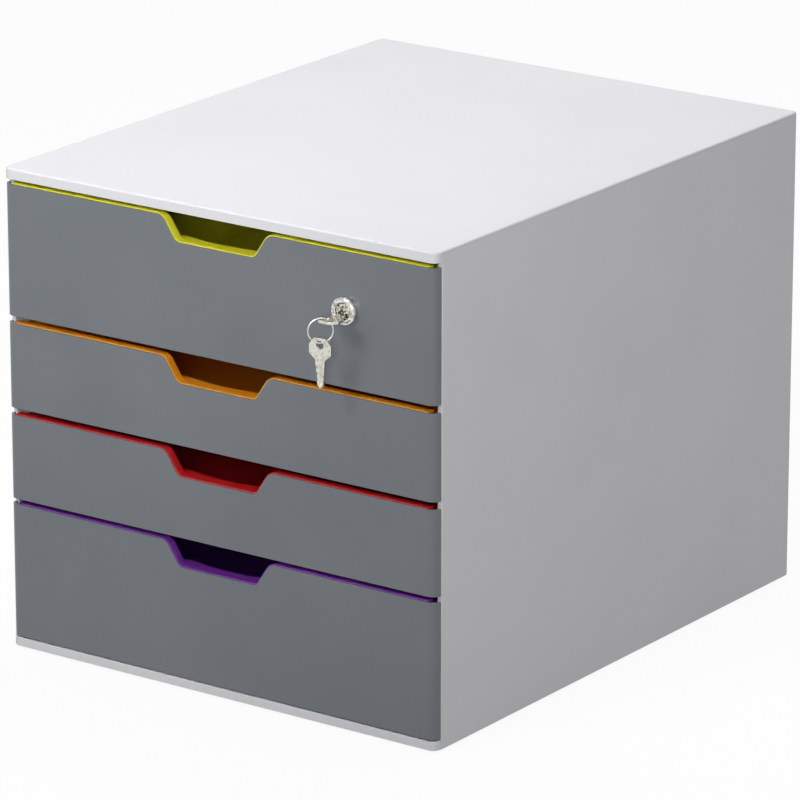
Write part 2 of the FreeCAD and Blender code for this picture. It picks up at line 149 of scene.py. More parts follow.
# ---- Side walls -----------------------------------------------------------------------
# Two walls with the drawers' channels inside, injection-moulded in light grey ABS. The moulds of
# the whole casing are spark-eroded, so that every outer face has a fine dull grain.
DRIFT = 70                                          # mm over which shade and gloss drift
DRIFT_SPAN = {"From Min": 0.35, "From Max": 0.65}   # where nearly all of its noise lies


def moulded(name, colour, shade, roughness, gloss_drift, grain_mm, grain_depth_mm, ior=1.53,
            glow=0.0, glow_mm=1.0):
    """Moulded plastic: shade and gloss drift slowly over a face, and the grain stands on it.

    A share of the light, glow, goes about so many millimetres into a clearer plastic."""
    surface, tree = new_surface(name)
    place = node(tree, "ShaderNodeTexCoord")
    drift = node(tree, "ShaderNodeTexNoise", {"Scale": 1 / (DRIFT * MM), "Detail": 3.0},
                 [("Vector", place, "Object")])
    grain = node(tree, "ShaderNodeTexNoise", {"Scale": 1 / (grain_mm * MM), "Detail": 1.5},
                 [("Vector", place, "Object")])
    blotch = node(tree, "ShaderNodeMapRange", DRIFT_SPAN, [(0, drift, 0)])
    tone = node(tree, "ShaderNodeMix", {"data_type": "RGBA", 6: linear(colour), 7: linear(shade)},
                [(0, blotch, 0)])
    gloss = node(tree, "ShaderNodeMapRange",
                 {**DRIFT_SPAN, "To Min": roughness - gloss_drift,
                  "To Max": roughness + gloss_drift}, [(0, drift, 0)])
    relief = node(tree, "ShaderNodeBump", {"Strength": 1.0, "Distance": grain_depth_mm * MM},
                  [("Height", grain, 0)])
    shader = node(tree, "ShaderNodeBsdfPrincipled",
                  {"IOR": ior, "Subsurface Weight": glow, "Subsurface Scale": glow_mm * MM,
                   "Subsurface Radius": (1.0, 1.0, 1.0)},
                  [("Base Color", tone, 2), ("Roughness", gloss, 0), ("Normal", relief, 0)])
    node(tree, "ShaderNodeOutputMaterial", {}, [("Surface", shader, 0)])
    return surface


# Eroded grain is about 0.1 mm wide; it is drawn at 0.7 mm so that it shows as a fine dullness.
casing_abs = moulded("Spark-eroded ABS, light grey", "#DADADC", "#D8D8DB", 0.60, 0.02, 0.7, 0.010)
for wall in ("left_side_wall", "right_side_wall"):
    coat(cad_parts[wall], casing_abs)

# ---- Top ------------------------------------------------------------------------------
# A skin over the walls with a nose hanging down in front, and ribs and the catch for the lock's
# cam underneath. One moulding of the casing's grey ABS, snapped down on the walls.
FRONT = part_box("top_front_cover")[0].y / MM         # plane of the noses and the fronts
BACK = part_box("base_panel")[1].y / MM
PANEL_Y = BACK - 2.8                                # rear face of the back panel
WALL_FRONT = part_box("left_side_wall")[0].y / MM     # front edge of the side walls
HALF_W, INNER_X = 146.0, 143.2                      # half widths outside and between the walls
TOP_LOW, WALL_TOP, TOP = 277.5, 278.5, 280.0        # undersides of the slab and skin, and the top
NOSE_T, NOSE_DROP = 2.4, 4.7                        # wall of the noses, and fall of the top one
NOSE_ROUND, REAR_ROUND, SOFT_EDGE = 5.0, 3.0, 1.2   # corners seen from above, and the top edge
SLAB_IN = 1.5                                       # slabs begin inside the nose, off its face
SINK, SHY = 0.2, 0.01       # overlap of solids that are fused, and the step where faces would meet
RIB_HALF, RIB_FRONT, RIB_REAR, TOP_RIB_LOW = 0.8, 30, 14, 275.5
LOCK_X, LOCK_Z = 87.4, 238.9
CATCH_Y, CATCH_HALF, CATCH_T, CATCH_LOW = FRONT + 12.6, 15, 2, 274.2
GUSSET_T, GUSSET_DEEP, GUSSET_LOW = 1.6, 4.5, 274.8


@contextmanager
def editing(piece):
    """Opens one piece in edit mode, and closes it again."""
    bpy.ops.object.select_all(action="DESELECT")
    piece.select_set(True)
    bpy.context.view_layer.objects.active = piece
    bpy.ops.object.mode_set(mode="EDIT")
    yield
    bpy.ops.object.mode_set(mode="OBJECT")


def pick(kind, wanted):
    """Selects the faces, edges or vertices whose middle (mm) and direction are wanted."""
    bpy.ops.mesh.select_mode(type=kind)
    bpy.ops.mesh.select_all(action="DESELECT")
    mesh = bmesh.from_edit_mesh(bpy.context.edit_object.data)
    mesh.normal_update()
    for part in {"FACE": mesh.faces, "EDGE": mesh.edges, "VERT": mesh.verts}[kind]:
        if kind == "FACE":
            middle, way = part.calc_center_median(), part.normal
        elif kind == "EDGE":
            ends = [v.co for v in part.verts]
            middle, way = (ends[0] + ends[1]) / 2, (ends[1] - ends[0]).normalized()
        else:
            middle, way = part.co, part.normal
        if wanted(middle / MM, way):
            part.select_set(True)
    mesh.select_flush_mode()
    bmesh.update_edit_mesh(bpy.context.edit_object.data)


def round_off(wanted, radius, segments, kind="EDGE"):
    """Rounds the wanted edges, or the wanted corners of a flat outline."""
    pick(kind, wanted)
    bpy.ops.mesh.bevel(offset=radius * MM, segments=segments, profile=0.5, clamp_overlap=False,
                       affect="VERTICES" if kind == "VERT" else "EDGES")


def shift(x=0.0, y=0.0, z=0.0):
    """Moves what is selected by so many millimetres."""
    bpy.ops.transform.translate(value=(x * MM, y * MM, z * MM))


def pull(wanted, x=0.0, y=0.0, z=0.0):
    """Extrudes the wanted faces and moves them by so many millimetres."""
    pick("FACE", wanted)
    bpy.ops.mesh.extrude_region_move(
        TRANSFORM_OT_translate={"value": (x * MM, y * MM, z * MM), "orient_type": "GLOBAL"})


def divide(wanted, point, way):
    """Cuts the wanted faces along a plane through a point in millimetres."""
    pick("FACE", wanted)
    bpy.ops.mesh.bisect(plane_co=[c * MM for c in point], plane_no=way)


def take_off(wanted):
    """Takes the wanted faces off and leaves the piece open there."""
    pick("FACE", wanted)
    bpy.ops.mesh.delete(type="FACE")


def block(name, x, y, z):
    """A block added at its place from its spans in millimetres."""
    bpy.ops.object.select_all(action="DESELECT")
    spans = (x, y, z)
    bpy.ops.mesh.primitive_cube_add(size=1, location=[(a + b) / 2 * MM for a, b in spans],
                                    scale=[(b - a) * MM for a, b in spans])
    piece = bpy.context.object
    piece.name = piece.data.name = name
    bpy.ops.object.transform_apply(location=True, rotation=True, scale=True)
    return piece


def modify(piece, kind, **settings):
    """Adds a modifier with its settings and applies it."""
    modifier = piece.modifiers.new(kind.lower(), kind)
    for name, value in settings.items():
        setattr(modifier, name, value)
    bpy.context.view_layer.objects.active = piece
    bpy.ops.object.modifier_apply(modifier=modifier.name)


def thicken(piece, wall):
    """Gives an open skin its wall, inwards, in millimetres."""
    modify(piece, "SOLIDIFY", thickness=wall * MM, offset=-1.0, use_even_offset=True)


def join_on(piece, other, operation="UNION"):
    """Fuses another solid to a piece, and clears it off the bench."""
    modify(piece, "BOOLEAN", object=other, operation=operation, solver="EXACT")
    bpy.data.objects.remove(other)


def cut_away(piece, other):
    """Cuts another solid away from a piece."""
    join_on(piece, other, "DIFFERENCE")


def soften(piece, radius, segments=2, angle=50):
    """Rounds every sharp edge a little, as a mould or a polishing drum leaves it."""
    modify(piece, "BEVEL", width=radius * MM, segments=segments, limit_method="ANGLE",
           angle_limit=math.radians(angle), use_clamp_overlap=True)


def hand_over(piece, body, surface, slot, *nodes):
    """Shades a finished piece, gives it its material and hangs it on its body."""
    with editing(piece):
        bpy.ops.mesh.select_all(action="SELECT")
        bpy.ops.mesh.remove_doubles(threshold=0.002 * MM)
        bpy.ops.mesh.normals_make_consistent(inside=False)
    bpy.ops.object.shade_smooth_by_angle(angle=math.radians(35))
    modify(piece, "WEIGHTED_NORMAL", keep_sharp=True)
    coat(piece, surface)
    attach(piece, body)
    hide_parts(*nodes)


casing_top = block("casing_top", (-HALF_W, HALF_W), (FRONT, BACK), (WALL_TOP, TOP))
with editing(casing_top):
    round_off(lambda m, d: abs(d.z) > 0.9 and m.y < FRONT + 1, NOSE_ROUND, 10)
    round_off(lambda m, d: abs(d.z) > 0.9 and m.y > BACK - 1, REAR_ROUND, 6)
    round_off(lambda m, d: m.z > TOP - 0.01, SOFT_EDGE, 4)
    for point, way in (((0, WALL_FRONT, 0), (0, 1, 0)), ((0, FRONT + NOSE_T, 0), (0, 1, 0)),
                       ((HALF_W - NOSE_T, 0, 0), (1, 0, 0)), ((NOSE_T - HALF_W, 0, 0), (1, 0, 0))):
        divide(lambda m, n: n.z < -0.9, point, way)
    pull(lambda m, n: n.z < -0.9 and (m.y < FRONT + NOSE_T or m.y < WALL_FRONT
                                      and abs(m.x) > HALF_W - NOSE_T), z=-NOSE_DROP)
join_on(casing_top, block("slab", (-INNER_X, INNER_X), (FRONT + SLAB_IN, PANEL_Y),
                          (TOP_LOW, WALL_TOP + SINK)))
for x in (-110, -55, 0, 55, 110):
    join_on(casing_top, block("rib", (x - RIB_HALF, x + RIB_HALF),
                              (FRONT + RIB_FRONT, BACK - RIB_REAR), (TOP_RIB_LOW, TOP_LOW + SINK)))
join_on(casing_top, block("catch", (LOCK_X - CATCH_HALF, LOCK_X + CATCH_HALF),
                          (CATCH_Y - CATCH_T, CATCH_Y), (CATCH_LOW, TOP_LOW + SINK)))
for x in (LOCK_X - CATCH_HALF, LOCK_X + CATCH_HALF - GUSSET_T):
    join_on(casing_top, block("gusset", (x, x + GUSSET_T), (CATCH_Y - GUSSET_DEEP, CATCH_Y - SINK),
                              (GUSSET_LOW, TOP_LOW + SINK)))
soften(casing_top, 0.3)
hand_over(casing_top, "casing", casing_abs, "casing_grey", "top_panel")

# ---- Base -----------------------------------------------------------------------------
# A slab between the walls with a nose in front, a skirt behind and ribs below, moulded in the
# casing's ABS. A rebate behind the nose leaves the lowest front free, and shows as a dark line.
BASE_LOW, BASE_NOSE_TOP, SLAB_LOW, SLAB_TOP = 1.6, 6.8, 3.4, 5.9
REBATE_HALF, REBATE_Y, REBATE_Z = 140, (FRONT + 0.9, FRONT + 6.0), (4.2, 7.0)
SKIRT_HALF, SKIRT_T = 134, 2.9
BASE_RIB_LOW, BASE_RIB_END = 1.8, 6             # the ribs' lower edge, and their ends off the walls

casing_base = block("casing_base", (-HALF_W, HALF_W), (FRONT, WALL_FRONT),
                    (BASE_LOW, BASE_NOSE_TOP))
with editing(casing_base):
    round_off(lambda m, d: abs(d.z) > 0.9 and m.y < FRONT + 1, NOSE_ROUND, 10)
    take_off(lambda m, n: abs(n.z) > 0.9 or n.y > 0.9)
thicken(casing_base, NOSE_T)
soften(casing_base, 0.5, 3)
join_on(casing_base, block("slab", (-INNER_X, INNER_X), (FRONT + SLAB_IN, PANEL_Y),
                           (SLAB_LOW, SLAB_TOP)))
cut_away(casing_base, block("rebate", (-REBATE_HALF, REBATE_HALF), REBATE_Y, REBATE_Z))
join_on(casing_base, block("skirt", (-SKIRT_HALF, SKIRT_HALF), (BACK - SKIRT_T, BACK),
                           (BASE_LOW, SLAB_TOP - SHY)))
for y in (FRONT + 92, FRONT + 178, FRONT + 264):
    join_on(casing_base, block("rib", (BASE_RIB_END - INNER_X, INNER_X - BASE_RIB_END),
                               (y - RIB_HALF, y + RIB_HALF), (BASE_RIB_LOW, SLAB_LOW + SINK)))
hand_over(casing_base, "casing", casing_abs, "casing_grey", "base_panel")

# ---- Back -----------------------------------------------------------------------------
# A flat panel of the same ABS, held before the side walls' returns. Its middle is raised, with
# rounded corners, to stiffen it.
PANEL_T, RAISED_HALF, RAISED_Z, RAISED_BY, RAISED_ROUND = 2.2, 124, (19.9, 263.5), 1.0, 6.0

casing_back = block("casing_back", (-INNER_X, INNER_X), (PANEL_Y - PANEL_T, PANEL_Y),
                    (SLAB_TOP, TOP_LOW))
with editing(casing_back):
    for x in (-RAISED_HALF, RAISED_HALF):
        divide(lambda m, n: n.y > 0.9, (x, 0, 0), (1, 0, 0))
    for z in RAISED_Z:
        divide(lambda m, n: n.y > 0.9, (0, 0, z), (0, 0, 1))
    pull(lambda m, n: n.y > 0.9 and abs(m.x) < RAISED_HALF and RAISED_Z[0] < m.z < RAISED_Z[1],
         y=RAISED_BY)
    round_off(lambda m, d: abs(d.y) > 0.9 and abs(m.x) < RAISED_HALF + 1 and m.y > PANEL_Y,
              RAISED_ROUND, 6)
soften(casing_back, 0.4, 3)
hand_over(casing_back, "casing", casing_abs, "casing_grey", "back_panel")

# ---- Feet -----------------------------------------------------------------------------
# Four round pads of soft black rubber, pressed into the base from below. Their soles are
# cupped and their rims rounded, and they are the only thing that touches the table.
FOOT_X, FOOT_IN = 122, 30                       # from the middle, and from front and back
SOLE = ((7.6, 0.0), (8.0, 0.4), (8.0, 2.9), (7.85, 3.2), (7.5, 3.4), (5.6, 3.4), (5.0, 3.0))


def turned(name, sides, rings, middle, towards="-Y"):
    """A round piece raised ring by ring: rings are (radius, way out) in mm, closed on itself."""
    step = Vector((0, -1, 0)) if towards == "-Y" else Vector((0, 0, -1))
    squash = (1, 0, 1) if towards == "-Y" else (1, 1, 0)
    bpy.ops.object.select_all(action="DESELECT")
    bpy.ops.mesh.primitive_circle_add(
        vertices=sides, radius=rings[0][0] * MM, fill_type="NOTHING",
        location=(Vector(middle) + step * rings[0][1]) * MM,
        rotation=(math.radians(90) if towards == "-Y" else 0, 0, 0))
    piece = bpy.context.object
    piece.name = piece.data.name = name
    bpy.ops.object.transform_apply(location=True, rotation=True, scale=True)
    with editing(piece):
        bpy.ops.mesh.select_mode(type="EDGE")
        bpy.ops.mesh.select_all(action="SELECT")
        for before, after in zip(rings, rings[1:]):
            bpy.ops.mesh.extrude_edges_move(TRANSFORM_OT_translate={
                "value": step * (after[1] - before[1]) * MM, "orient_type": "GLOBAL"})
            grow = after[0] / before[0]
            bpy.ops.transform.resize(value=[grow if s else 1 for s in squash],
                                     center_override=(Vector(middle) + step * after[1]) * MM)
        bpy.ops.mesh.select_all(action="SELECT")
        bpy.ops.mesh.remove_doubles(threshold=0.001 * MM)
        bpy.ops.mesh.fill_holes(sides=0)
        bpy.ops.mesh.select_all(action="SELECT")
        bpy.ops.mesh.normals_make_consistent(inside=False)
    return piece


# The rubber is left matt against sticking, which gives it a faint grey sheen. Its grain,
# 0.3 mm, is drawn at 0.5 mm.
foot_rubber = moulded("Moulded TPE rubber, black", "#2B2B2C", "#323233", 0.75, 0.05, 0.5, 0.015,
                      1.50)
foot_places = [(x, y) for y in (FRONT + FOOT_IN, BACK - FOOT_IN) for x in (-FOOT_X, FOOT_X)]
for i, (x, y) in enumerate(foot_places):
    foot = turned(f"foot_{i + 1}", 40, SOLE, (x, y, SLAB_LOW), "-Z")
    hand_over(foot, "casing", foot_rubber, "foot_rubber", "rubber_feet")

# ---- Front covers ---------------------------------------------------------------------
# Each drawer has an anthracite ABS front that wraps round its corners. It clips on to the
# tray with tongues behind, and its top edge dips in the middle to make room for fingers.
COVER_HALF, COVER_T, COVER_WRAP = 145.6, 1.5, 5.2
CUT_TOP, CUT_BOTTOM, CUT_DEPTH = 35.75, 26.5, 14.0      # half widths of the dip, and its depth
CUT_TOP_ROUND, CUT_BOTTOM_ROUND = 6.0, 5.0
LEAN = math.atan((CUT_TOP - CUT_BOTTOM) / CUT_DEPTH)    # its flanks, from upright
PLATE_T = 2.2                                           # tray's front plate behind the cover
CLIP_OUT, CLIP_MID, CLIP_UP, CLIP_DOWN = 118, 48, 11.0, 16.0    # across, and off either edge
TALL = 60                                               # only taller fronts have upper clips
TONGUE_HALF, TONGUE_T = 4, 1.6
BARB_GAP, BARB_L, BARB_H, BARB_FALL = 0.2, 1.6, 0.8, 0.7
LOCK_HOLE = 6.15                                        # radius of the hole for the lock
# lower edge and height of each drawer's cover
DRAWERS = {"top": (195.6, 75.4), "upper": (142.1, 49.1), "lower": (88.9, 48.9),
           "bottom": (7.6, 78.0)}


def outlined(name, half, low, edge, grow, y, deep):
    """A slab with a drawer front's outline, seen from the front; grow adds round the dip."""
    top, bottom = edge + grow, edge - CUT_DEPTH + grow
    wider = grow * math.tan(LEAN) - grow / math.cos(LEAN)
    bpy.ops.object.select_all(action="DESELECT")
    bpy.ops.mesh.primitive_plane_add(size=1, location=(0, y * MM, (low + top) / 2 * MM),
                                     rotation=(math.radians(90), 0, 0))
    sheet = bpy.context.object
    sheet.name = sheet.data.name = name
    sheet.scale = (2 * half * MM, (top - low) * MM, 1)
    bpy.ops.object.transform_apply(location=True, rotation=True, scale=True)
    with editing(sheet):
        divide(lambda m, n: True, (0, y, bottom), (0, 0, 1))
        for side in (-1, 1):
            divide(lambda m, n: True, (side * (CUT_TOP + wider), y, top),
                   (side * math.cos(LEAN), 0, -math.sin(LEAN)))
        take_off(lambda m, n: m.z > bottom and abs(m.x) < CUT_BOTTOM)
        bpy.ops.mesh.select_all(action="SELECT")
        bpy.ops.mesh.dissolve_limited(angle_limit=0.001, use_dissolve_boundaries=False)
        for at, z, radius in ((CUT_TOP, top, CUT_TOP_ROUND + grow),
                              (CUT_BOTTOM, bottom, CUT_BOTTOM_ROUND - grow)):
            reach = radius * math.tan((math.pi / 2 - LEAN) / 2)
            round_off(lambda m, n: abs(m.z - z) < 0.1 and abs(abs(m.x) - at - wider) < 0.1,
                      reach, 8, "VERT")
        pull(lambda m, n: True, y=deep)
        bpy.ops.mesh.select_all(action="SELECT")
        bpy.ops.mesh.normals_make_consistent(inside=False)
    return sheet


def clip_places(low, height):
    """Middles of the tongues behind a cover, across and up."""
    places = [(x, low + CLIP_UP) for x in (-CLIP_OUT, -CLIP_MID, CLIP_MID, CLIP_OUT)]
    if height > TALL:
        places += [(x, low + height - CLIP_DOWN) for x in (-CLIP_OUT, CLIP_OUT)]
    return places


def tongue(x, z):
    """A clip: a flat tongue with a barb on its upper face behind the tray's plate."""
    barb = FRONT + COVER_T + PLATE_T + BARB_GAP
    piece = block("tongue", (x - TONGUE_HALF, x + TONGUE_HALF),
                  (FRONT + COVER_T - SINK, barb + BARB_L), (z - TONGUE_T / 2, z + TONGUE_T / 2))
    with editing(piece):
        divide(lambda m, n: n.z > 0.9, (0, barb, 0), (0, 1, 0))
        pull(lambda m, n: n.z > 0.9 and m.y > barb, z=BARB_H)
        pick("EDGE", lambda m, d: m.z > z + 1.5 and m.y > barb + 1.5)
        shift(z=-BARB_FALL)
    return piece


# The fronts are moulded in a satin-eroded tool: smoother than the casing, so they carry a
# broad soft sheen. The satin grain, 0.08 mm, is drawn at 0.6 mm.
cover_abs = moulded("Satin ABS, anthracite", "#6C7176", "#686D72", 0.36, 0.03, 0.6, 0.004)
for drawer, (low, height) in DRAWERS.items():
    cover = outlined(f"front_{drawer}", COVER_HALF, low, low + height, 0.0, FRONT, COVER_WRAP)
    with editing(cover):
        round_off(lambda m, d: abs(d.z) > 0.9 and m.y < FRONT + 0.1
                  and abs(m.x) > COVER_HALF - 0.1, NOSE_ROUND, 10)
        take_off(lambda m, n: n.y > 0.9 or n.z > 0.3)
    thicken(cover, COVER_T)
    soften(cover, 0.4, 3)
    for x, z in clip_places(low, height):
        join_on(cover, tongue(x, z))
    if drawer == "top":
        cut_away(cover, turned("drill", 40, ((LOCK_HOLE, -4), (LOCK_HOLE, 4)),
                               (LOCK_X, FRONT, LOCK_Z)))
    hand_over(cover, f"{drawer}_drawer", cover_abs, "cover_anthracite", f"{drawer}_front_cover")

# ---- Trays ----------------------------------------------------------------------------
# Each tray is one glossy polystyrene moulding, a colour to a drawer: a front plate whose rim
# shows above the cover, a finger lip, a bin, and flanges that run in the side walls.
TRAY_HALF, TRAY_T, TRAY_BACK, BIN_ROUND = 135.0, 2.0, 348.0, 5.0
PLATE_UP, BIN_UP, SIDE_DOWN = 1.6, 2.5, 2.0     # off the cover's lower and upper edges
PLATE_HALF, RIM_SHOW, RIM_T, RIM_DEPTH = 140.3, 0.8, 1.5, 4.3
RIM_SET, RIM_GAP = 0.5, 0.05                    # rim behind the cover's face, and off its edge
FLANGE_OUT, FLANGE_T, FLANGE_LEAD, FLANGE_SHORT = 141.2, 2.0, 5, 2.0
EAR_Y = FRONT + 69.7 + 260.3                    # ear that meets the stop after 260 mm of travel
EAR_OUT, EAR_L, EAR_RAMP = 142.8, 11, 7
EAR_SLOT, EAR_SLOT_AHEAD = (137.4, 138.6), 6
LIP_HALF, LIP_MID, LIP_END = 34.0, 9.0, 12.0    # finger lip: half width, reach from the front
SLOT_HALF, SLOT_DOWN, SLOT_UP = 4.3, 1.1, 1.9   # slot for a clip, about the tongue's middle


def flanges(side_top):
    """Both running flanges, each with its springy ear and the slot that frees it."""
    y0, y1 = FRONT + COVER_T + PLATE_T - SINK, FRONT + TRAY_BACK - FLANGE_SHORT
    height = (side_top - FLANGE_T, side_top - SHY)
    flange = block("flange", (TRAY_HALF - 0.6, FLANGE_OUT), (y0, y1), height)
    with editing(flange):
        pick("VERT", lambda m, n: m.x > FLANGE_OUT - 0.1 and m.y < y0 + 0.1)
        shift(y=FLANGE_LEAD)
    ear = block("ear", (FLANGE_OUT - 1, EAR_OUT), (EAR_Y, EAR_Y + EAR_L), height)
    with editing(ear):
        pick("VERT", lambda m, n: m.x > FLANGE_OUT and m.y > EAR_Y + EAR_L - 1)
        shift(y=-EAR_RAMP)
    join_on(flange, ear)
    cut_away(flange, block("slot", EAR_SLOT, (EAR_Y - EAR_SLOT_AHEAD, y1 + 1),
                           (side_top - 5, side_top + 5)))
    soften(flange, 0.3)
    modify(flange, "MIRROR")
    return flange


def finger_lip(edge):
    """The ledge under the fingers, its rear edge scooped along a wide arc."""
    high = edge - CUT_DEPTH + RIM_SHOW
    lip = block("lip", (-LIP_HALF, LIP_HALF), (FRONT + COVER_T + PLATE_T - 0.5, FRONT + LIP_END),
                (high - RIM_T, high - SHY))
    with editing(lip):
        round_off(lambda m, d: abs(d.z) > 0.9 and m.y > FRONT + LIP_END - 0.1, 3.0, 6)
    deep = LIP_END - LIP_MID
    sweep = (CUT_BOTTOM ** 2 + deep ** 2) / (2 * deep)
    cut_away(lip, turned("scoop", 400, ((sweep, 0), (sweep, 6)),
                         (0, FRONT + LIP_MID + sweep, high + 2), "-Z"))
    soften(lip, 0.4, 3)
    return lip


def rim_face(edge, low):
    """The part of the rim that stands forward beside the cover's edge."""
    rim = outlined("rim", PLATE_HALF, low, edge, RIM_SHOW, FRONT + RIM_SET,
                   COVER_T - RIM_SET + 0.1)
    cut_away(rim, outlined("cover", PLATE_HALF + 1, low - 1, edge, RIM_GAP, FRONT, COVER_T + 1))
    soften(rim, 0.25, 2)
    return rim


# The trays come from polished tools, so they are the shiniest plastic on the box, with only
# shallow flow marks about 1 mm wide. Light goes some 3 mm into the polystyrene, and makes rims
# and lips glow.
COLOURS = {"top": ("yellow", "#F1E93A", "#EAE234"), "upper": ("orange", "#F29624", "#EA8E1E"),
           "lower": ("red", "#CB272D", "#C32329"), "bottom": ("purple", "#7A36A4", "#72329A")}
for drawer, (low, height) in DRAWERS.items():
    colour, bright, dull = COLOURS[drawer]
    edge, face = low + height, FRONT + COVER_T
    side_top, rear = edge - SIDE_DOWN, FRONT + TRAY_BACK
    tray = outlined(f"{colour}_tray", PLATE_HALF, low + PLATE_UP, edge, RIM_SHOW, face, RIM_DEPTH)
    with editing(tray):
        take_off(lambda m, n: n.y > 0.9)
    thicken(tray, RIM_T)
    with editing(tray):
        pick("FACE", lambda m, n: n.y > 0.9 and m.y < face + RIM_T + 0.1)
        shift(y=PLATE_T - RIM_T)
    soften(tray, 0.3, 3)
    bin_shell = block("bin", (-TRAY_HALF, TRAY_HALF), (face + PLATE_T - 0.4, rear),
                      (low + BIN_UP, side_top))
    with editing(bin_shell):
        round_off(lambda m, d: abs(d.z) > 0.9 and m.y > rear - 0.1
                  or m.z < low + BIN_UP + 0.1 and m.y > face + 10, BIN_ROUND, 6)
        take_off(lambda m, n: n.z > 0.9 or n.y < -0.9)
    thicken(bin_shell, TRAY_T)
    soften(bin_shell, 0.5, 3)
    join_on(tray, bin_shell)
    join_on(tray, flanges(side_top))
    join_on(tray, finger_lip(edge))
    join_on(tray, rim_face(edge, low + PLATE_UP))
    for x, z in clip_places(low, height):
        cut_away(tray, block("slot", (x - SLOT_HALF, x + SLOT_HALF),
                             (face - 1, face + PLATE_T + 0.3), (z - SLOT_DOWN, z + SLOT_UP)))
    if drawer == "top":
        cut_away(tray, turned("drill", 40, ((LOCK_HOLE, -8), (LOCK_HOLE, 0)),
                              (LOCK_X, FRONT, LOCK_Z)))
    styrene = moulded(f"Polished polystyrene, {colour}", bright, dull, 0.24, 0.03, 1.2, 0.002,
                      1.59, 0.8, 3.0)
    hand_over(tray, f"{drawer}_drawer", styrene, f"tray_{colour}", f"{drawer}_tray")

# ---- Lock housing ---------------------------------------------------------------------
# The housing of a furniture cam lock, die-cast in zinc and chromium-plated. Its barrel, with a
# flat on either side, goes through the front, and its domed collar lies on the cover.
BARREL_R, BARREL_L, BORE, COLLAR_H = 6.0, 13.0, 4.55, 4.0
FLAT_X, PAST = 5.2, 9                           # flats off the lock's axis, and past its collar
COLLAR = ((BARREL_R, -BARREL_L), (BARREL_R, 0.0), (8.0, 0.0), (8.0, 1.9), (7.95, 2.4),
          (7.75, 2.95), (7.35, 3.45), (6.8, 3.8), (6.2, 3.97), (5.6, COLLAR_H), (5.1, 3.82),
          (4.7, 3.4), (BORE, 2.9), (BORE, -BARREL_L), (BARREL_R, -BARREL_L))


def metal(name, colour, stain, roughness, spread, mark_mm, mark_share, mark_depth_mm):
    """Plated or bare metal: marks of a given size stain it, dull it and dent it a little."""
    surface, tree = new_surface(name)
    place = node(tree, "ShaderNodeTexCoord")
    marks = node(tree, "ShaderNodeTexNoise",
                 {"Scale": 1 / (mark_mm * MM), "Detail": 3.0, "Roughness": 0.6},
                 [("Vector", place, "Object")])
    worn = node(tree, "ShaderNodeMapRange",
                {"From Min": 0.5 - mark_share / 2, "From Max": 0.62 - mark_share / 2,
                 "To Min": 1.0, "To Max": 0.0}, [(0, marks, 0)])
    tone = node(tree, "ShaderNodeMix", {"data_type": "RGBA", 6: linear(colour), 7: linear(stain)},
                [(0, worn, 0)])
    gloss = node(tree, "ShaderNodeMapRange", {"To Min": roughness, "To Max": roughness + spread},
                 [(0, worn, 0)])
    relief = node(tree, "ShaderNodeBump", {"Strength": 1.0, "Distance": mark_depth_mm * MM},
                  [("Height", marks, 0)])
    shader = node(tree, "ShaderNodeBsdfPrincipled", {"Metallic": 1.0},
                  [("Base Color", tone, 2), ("Roughness", gloss, 0), ("Normal", relief, 0)])
    node(tree, "ShaderNodeOutputMaterial", {}, [("Surface", shader, 0)])
    return surface


# Bright chromium over die-cast zinc is nearly a mirror, dulled in spots where the casting's
# pores show. The pores, 0.3 mm, are drawn at 1.6 mm.
chrome = metal("Chromium plating on zinc", "#E4E4E2", "#B0AFA9", 0.13, 0.15, 1.6, 0.14, 0.02)
housing = turned("lock_collar", 96, COLLAR, (LOCK_X, FRONT, LOCK_Z))
for side in (-1, 1):
    flat = sorted((LOCK_X + side * FLAT_X, LOCK_X + side * PAST))
    cut_away(housing, block("flat", flat, (FRONT + 0.02, FRONT + BARREL_L + 1),
                            (LOCK_Z - PAST, LOCK_Z + PAST)))
hand_over(housing, "top_drawer", chrome, "lock_chrome", "lock_housing")

# ---- Lock plug ------------------------------------------------------------------------
# The cylinder that the key turns, turned in brass and nickel-plated, with a square behind for
# the cam. Its face lies a little below the collar's dome.
FACE_OUT = COLLAR_H - 0.8
PLUG = ((2.4, -13.2), (4.5, -13.2), (4.5, FACE_OUT - 0.3), (4.2, FACE_OUT), (2.4, FACE_OUT - 0.06))
SQUARE_HALF, SQUARE_Y = 3, (FRONT + 12.9, FRONT + 14.8)
KEY_Z = LOCK_Z - 2.0
KEYWAY_HALF, KEYWAY_RISE, KEYWAY_DEEP = 3.05, 1.0, 11.4
SCREW_HOLE = ((1.5, -16), (1.5, -8.6))

# Keys have rubbed and scratched the face and the keyway: dark dents between bright spots. The
# scratches, 0.2 mm, are drawn at 1.8 mm.
plug_brass = metal("Worn nickel on turned brass", "#DAD8CF", "#4C483C", 0.24, 0.3, 1.8, 0.12, 0.10)
plug = turned("lock_plug_face", 64, PLUG, (LOCK_X, FRONT, LOCK_Z))
join_on(plug, block("square", (LOCK_X - SQUARE_HALF, LOCK_X + SQUARE_HALF), SQUARE_Y,
                    (LOCK_Z - SQUARE_HALF, LOCK_Z + SQUARE_HALF)))
cut_away(plug, block("keyway", (LOCK_X - KEYWAY_HALF, LOCK_X + KEYWAY_HALF),
                     (FRONT - 5, FRONT - FACE_OUT + KEYWAY_DEEP),
                     (KEY_Z - KEYWAY_RISE, KEY_Z + KEYWAY_RISE)))
cut_away(plug, turned("drill", 24, SCREW_HOLE, (LOCK_X, FRONT, LOCK_Z)))
soften(plug, 0.12)
hand_over(plug, "lock", plug_brass, "lock_chrome", "lock_plug")

